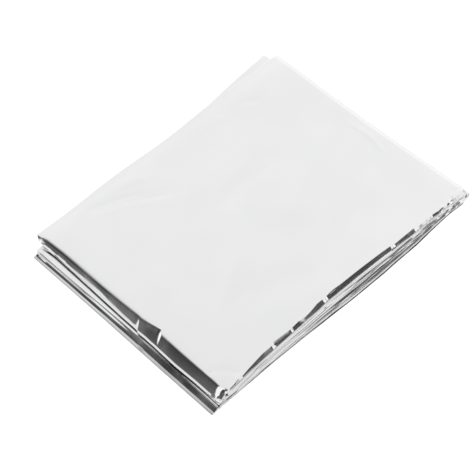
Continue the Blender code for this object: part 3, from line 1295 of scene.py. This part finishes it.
@dataclass(frozen=True)
class Relief:
    """Shared node group for the film's fine wrinkles, cloudy sheen and faint colour change."""

    name: str = "film_relief"
    wrinkle_size: float = 9.0
    wrinkle_share: float = 0.55
    grain_size: float = 2.4
    cloud_size: float = 34.0
    smooth: float = 0.10
    dull: float = 0.19
    sheen_clouds: tuple[float, float] = (0.35, 0.65)
    tint_clouds: tuple[float, float] = (0.30, 0.70)
    cool: tuple[float, ...] = (0.858, 0.859, 0.866, 1.0)
    warm: tuple[float, ...] = (0.872, 0.871, 0.872, 1.0)

    def noise(self, wires: Wiring, place: bpy.types.NodeSocket, size: object,
              detail: float) -> bpy.types.NodeSocket:
        """Add one noise.

        Args:
            wires: Wiring of the group.
            place: Place on the flat sheet, in metres.
            size: Size of the noise's lumps, in metres.
            detail: How many finer noises are added.

        Returns:
            Socket of the noise's value.
        """
        noise = wires.node("ShaderNodeTexNoise", noise_dimensions="2D")
        wires.feed(noise.inputs["Vector"], place)
        wires.feed(noise.inputs["Scale"], wires.maths("DIVIDE", 1.0, size))
        noise.inputs["Detail"].default_value = detail
        return noise.outputs[0]

    def group(self) -> bpy.types.NodeTree:
        """Build the node group.

        Returns:
            The group, with sizes as inputs and the height, roughness and colour as outputs.
        """
        group = bpy.data.node_groups.new(self.name, "ShaderNodeTree")
        face = group.interface
        face.new_socket("Place", in_out="INPUT", socket_type="NodeSocketVector")
        values = (
            ("Wrinkle Size", self.wrinkle_size * MM), ("Grain Size", self.grain_size * MM),
            ("Cloud Size", self.cloud_size * MM), ("Smooth", self.smooth), ("Dull", self.dull),
        )
        for name, value in values:
            socket = face.new_socket(name, in_out="INPUT", socket_type="NodeSocketFloat")
            socket.default_value = value
        for name, kind in (("Height", "Float"), ("Roughness", "Float"), ("Colour", "Color")):
            face.new_socket(name, in_out="OUTPUT", socket_type="NodeSocket" + kind)
        wires = Wiring(group)
        inputs = wires.node("NodeGroupInput").outputs
        outputs = wires.node("NodeGroupOutput").inputs
        wrinkle = self.noise(wires, inputs["Place"], inputs["Wrinkle Size"], 3.0)
        ridged = wires.maths("ABSOLUTE", wires.maths("SUBTRACT", wrinkle, 0.5))
        grain = self.noise(wires, inputs["Place"], inputs["Grain Size"], 2.0)
        cloud = self.noise(wires, inputs["Place"], inputs["Cloud Size"], 2.0)
        height = wires.maths(
            "ADD", wires.maths("MULTIPLY", ridged, self.wrinkle_share),
            wires.maths("MULTIPLY", grain, 1 - self.wrinkle_share),
        )
        wires.feed(outputs["Height"], height)
        sheen = wires.span(cloud, *self.sheen_clouds, inputs["Smooth"], inputs["Dull"])
        wires.feed(outputs["Roughness"], sheen)
        tint = wires.node("ShaderNodeMix", data_type="RGBA")
        wires.feed(tint.inputs["Factor"], wires.span(cloud, *self.tint_clouds, 0.0, 1.0))
        tint.inputs["A"].default_value = self.cool
        tint.inputs["B"].default_value = self.warm
        wires.feed(outputs["Colour"], tint.outputs["Result"])
        return group


@dataclass(frozen=True)
class Film:
    """Finish of the bright metallised film."""

    name: str = "foil_film"
    relief: Relief = Relief()
    relief_height: float = 0.05
    relief_strength: float = 0.30

    def material(self) -> bpy.types.Material:
        """Make the material.

        Returns:
            The film's material.
        """
        material = bpy.data.materials.new(self.name)
        material.use_nodes = True
        wires = Wiring(material.node_tree)
        shader = material.node_tree.nodes["Principled BSDF"]
        place = wires.node("ShaderNodeUVMap", uv_map="flat_sheet")
        relief = wires.node("ShaderNodeGroup", node_tree=self.relief.group())
        wires.feed(relief.inputs["Place"], place.outputs[0])
        bump = wires.node("ShaderNodeBump")
        wires.feed(bump.inputs["Height"], relief.outputs["Height"])
        bump.inputs["Strength"].default_value = self.relief_strength
        bump.inputs["Distance"].default_value = self.relief_height * MM
        wires.feed(shader.inputs["Normal"], bump.outputs[0])
        wires.feed(shader.inputs["Base Color"], relief.outputs["Colour"])
        wires.feed(shader.inputs["Roughness"], relief.outputs["Roughness"])
        shader.inputs["Metallic"].default_value = 1.0
        return material


@dataclass(frozen=True)
class Studio:
    """Plain pale floor and a plain white light tent with two long dark screens.

    Each screen is a bar of directions, at a fixed place on one axis and starting at a place on
    the other. The film's steep folds mirror the screens and its flat top mirrors the tent.
    """

    # The floor is in metres and glows a little less where the film mirrors it
    floor_size: float = 6.0
    floor_gap: float = 0.0002
    floor_roughness: float = 0.9
    floor_white: float = 0.35
    floor_glow: float = 0.86
    floor_glow_mirrored: float = 0.60
    tent_zenith: float = 0.89
    tent_horizon: float = 1.20
    screen_low: float = 0.125
    screen_high: float = 0.042
    screen_middle: float = 0.435
    screen_width: tuple[float, float] = (0.15, 0.24)
    screen_start: tuple[float, float] = (-0.57, -0.05)
    screen_fade: tuple[float, float] = (0.15, 0.72)

    def floor(self) -> bpy.types.Object:
        """Make the floor, just under the pack.

        Returns:
            The floor, which isn't part of the object.
        """
        half = self.floor_size / 2
        mesh = bpy.data.meshes.new("studio_floor")
        corners = [(-half, -half, 0.0), (half, -half, 0.0), (half, half, 0.0), (-half, half, 0.0)]
        mesh.from_pydata(corners, [], [(0, 1, 2, 3)])
        mesh.transform(Matrix.Translation((0.0, 0.0, -self.floor_gap)))
        material = bpy.data.materials.new("studio_floor")
        material.use_nodes = True
        shader = material.node_tree.nodes["Principled BSDF"]
        shader.inputs["Base Color"].default_value = (self.floor_white,) * 3 + (1.0,)
        shader.inputs["Roughness"].default_value = self.floor_roughness
        shader.inputs["Specular IOR Level"].default_value = 0.0
        shader.inputs["Emission Color"].default_value = (1.0, 1.0, 1.0, 1.0)
        wires = Wiring(material.node_tree)
        path = wires.node("ShaderNodeLightPath")
        glow = wires.maths(
            "MULTIPLY_ADD", path.outputs["Is Camera Ray"],
            self.floor_glow - self.floor_glow_mirrored, self.floor_glow_mirrored,
        )
        wires.feed(shader.inputs["Emission Strength"], glow)
        mesh.materials.append(material)
        floor = bpy.data.objects.new("studio_floor", mesh)
        bpy.context.scene.collection.objects.link(floor)
        return floor

    def tent(self) -> bpy.types.World:
        """Make the light tent as the scene's world.

        Returns:
            The world.
        """
        world = bpy.data.worlds.new("light_tent")
        world.use_nodes = True
        world.node_tree.nodes.clear()
        wires = Wiring(world.node_tree)
        direction = wires.node("ShaderNodeTexCoord")
        split = wires.node("ShaderNodeSeparateXYZ")
        wires.feed(split.inputs[0], direction.outputs["Generated"])
        x, y, z = split.outputs
        screens = []
        for along, across in ((x, y), (y, x)):
            outside = wires.maths("ABSOLUTE", wires.maths("SUBTRACT", across, self.screen_middle))
            near = wires.span(outside, *self.screen_width, 1.0, 0.0)
            under = wires.span(along, *self.screen_start, 1.0, 0.0)
            screens.append(wires.maths("MULTIPLY", near, under))
        tent = wires.maths(
            "MULTIPLY_ADD", wires.maths("MAXIMUM", z, 0.0), self.tent_zenith - self.tent_horizon,
            self.tent_horizon,
        )
        dark = wires.span(z, *self.screen_fade, self.screen_low, self.screen_high)
        strength = wires.span(wires.maths("MAXIMUM", *screens), 0.0, 1.0, tent, dark)
        background = wires.node("ShaderNodeBackground")
        wires.feed(background.inputs["Strength"], strength)
        background.inputs["Color"].default_value = (1.0, 1.0, 1.0, 1.0)
        output = wires.node("ShaderNodeOutputWorld")
        wires.feed(output.inputs["Surface"], background.outputs[0])
        bpy.context.scene.world = world
        return world


@dataclass(frozen=True)
class PhotoCamera:
    """Camera at the photograph's angle, in the pack's frame, with lengths in metres."""

    position: tuple[float, float, float] = (-0.46353, -0.44560, 0.86111)
    azimuth: float = -45.340
    elevation: float = 53.793
    roll: float = 0.3026
    image_width: float = 470.0
    focal_pixels: float = 1400.0
    sensor: float = 36.0

    def make(self) -> bpy.types.Object:
        """Make the camera and hand it to the scene.

        Returns:
            The camera.
        """
        turn = math.radians(self.azimuth)
        rise = math.radians(self.elevation)
        back = Vector((math.sin(turn) * math.cos(rise), -math.cos(turn) * math.cos(rise),
                       math.sin(rise)))
        level = Vector((0.0, 0.0, 1.0)).cross(back).normalized()
        upright = back.cross(level)
        lean = math.radians(self.roll)
        right = level * math.cos(lean) + upright * math.sin(lean)
        up = upright * math.cos(lean) - level * math.sin(lean)
        axes = Matrix((right, up, back)).transposed().to_4x4()
        data = bpy.data.cameras.new("photo_camera")
        data.sensor_width = self.sensor
        data.lens = self.focal_pixels * self.sensor / self.image_width
        camera = bpy.data.objects.new("photo_camera", data)
        camera.matrix_world = Matrix.Translation(self.position) @ axes
        bpy.context.scene.collection.objects.link(camera)
        bpy.context.scene.camera = camera
        return camera


def main() -> None:
    """Build the blanket, its finish, the studio and the camera."""
    sheet = FoldedSheet().build()
    Crinkle().apply(sheet, Film().material())
    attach(sheet, "root")
    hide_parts("blanket")
    studio = Studio()
    studio.floor()
    studio.tent()
    PhotoCamera().make()
    bpy.context.scene.view_settings.view_transform = "Standard"


if __name__ == "__main__":
    main()
